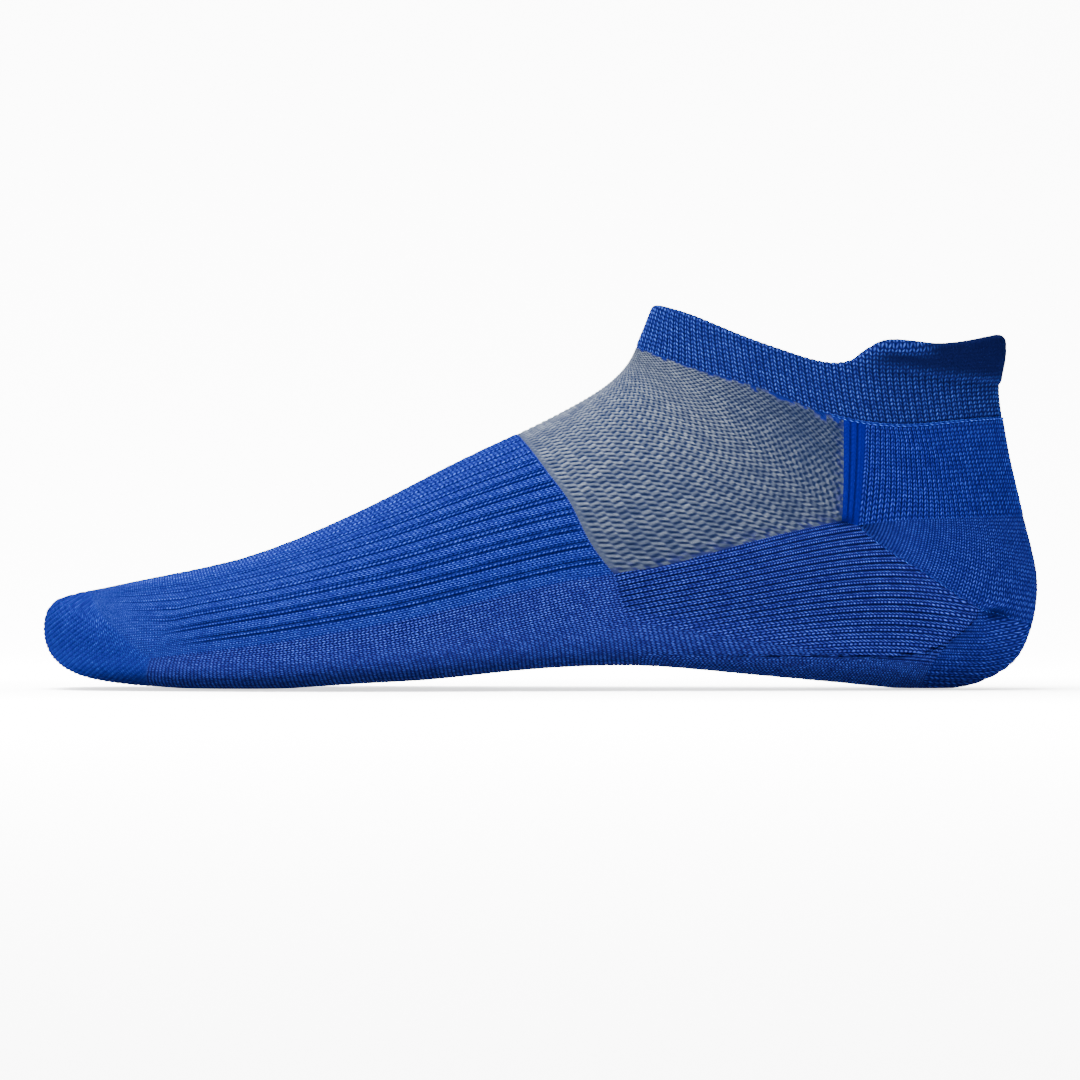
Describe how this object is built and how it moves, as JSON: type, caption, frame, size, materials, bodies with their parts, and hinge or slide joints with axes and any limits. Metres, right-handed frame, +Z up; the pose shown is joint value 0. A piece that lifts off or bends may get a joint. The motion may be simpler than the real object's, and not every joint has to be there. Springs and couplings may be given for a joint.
{
  "type": "ankle sock",
  "caption": "Low-cut knitted running sock in its worn shape: mesh instep, ribbed forefoot and arch, cushioned sole, seamed toe and a padded tab that folds back at the heel.",
  "frame": {"origin": "middle of the sock's bounding box, on the floor under the sole", "axes": "+Z up; the toe points along -X and the heel along +X; +Y is the big-toe side of this left sock"},
  "size_m": [0.2651, 0.0908, 0.1021],
  "materials": {
    "blue_knit": "melange blue jersey and rib, matt, with a fine stitch",
    "bright_strip": "plain royal blue rib, matt",
    "grey_marl_mesh": "open mesh of pale grey yarn over navy",
    "navy_tab": "dark navy fine rib, matt",
    "terry_lining": "looped terry, soft and matt",
    "linking_thread": "linked stitches, slightly raised",
    "covered_elastane": "covered elastic yarn laid inside the cuff"
  },
  "bodies": {
    "foot": {"forefoot_flex": "blue_knit", "forefoot_rib_rear": "blue_knit", "instep_mesh": "grey_marl_mesh", "side_strip_left": "bright_strip", "side_strip_right": "bright_strip", "sole_ball": "blue_knit", "sole_waist": "blue_knit", "arch_band_left": "blue_knit", "arch_band_right": "blue_knit", "ball_pad_rear": "terry_lining", "heel_pad": "terry_lining", "heel_cup": "blue_knit", "heel_pocket": "blue_knit", "achilles_panel": "blue_knit", "heel_gore_left": "linking_thread", "heel_gore_right": "linking_thread", "achilles_pad": "terry_lining", "cuff_rib": "blue_knit", "cuff_lining": "terry_lining", "cuff_elastic_1": "covered_elastane", "cuff_elastic_2": "covered_elastane", "cuff_elastic_3": "covered_elastane", "welt_join": "linking_thread", "tab_wing_left": "navy_tab", "tab_wing_right": "navy_tab", "tab_wing_lining_left": "terry_lining", "tab_wing_lining_right": "terry_lining"},
    "toe": {"toe_pocket_lower": "blue_knit", "toe_pocket_upper": "blue_knit", "forefoot_rib_front": "blue_knit", "sole_front": "blue_knit", "toe_pad": "terry_lining", "ball_pad_front": "terry_lining", "toe_gore_left": "linking_thread", "toe_gore_right": "linking_thread", "toe_seam": "linking_thread"},
    "heel_tab": {"heel_tab_outer": "navy_tab", "heel_tab_pad": "terry_lining", "heel_tab_lining": "terry_lining"}
  },
  "joints": [
    {"name": "forefoot_flex_line", "type": "hinge", "parent": "foot", "child": "toe", "pos_m": [-0.0565, 0, 0.0008], "axis": [0, 1, 0], "range_deg": [0, 35], "deforming": ["forefoot_flex"]},
    {"name": "heel_tab_fold", "type": "hinge", "parent": "foot", "child": "heel_tab", "pos_m": [0.1226, 0, 0.0809], "axis": [0, 1, 0], "range_deg": [0, 40], "stiffness_Nm_per_rad": 0.001}
  ]
}
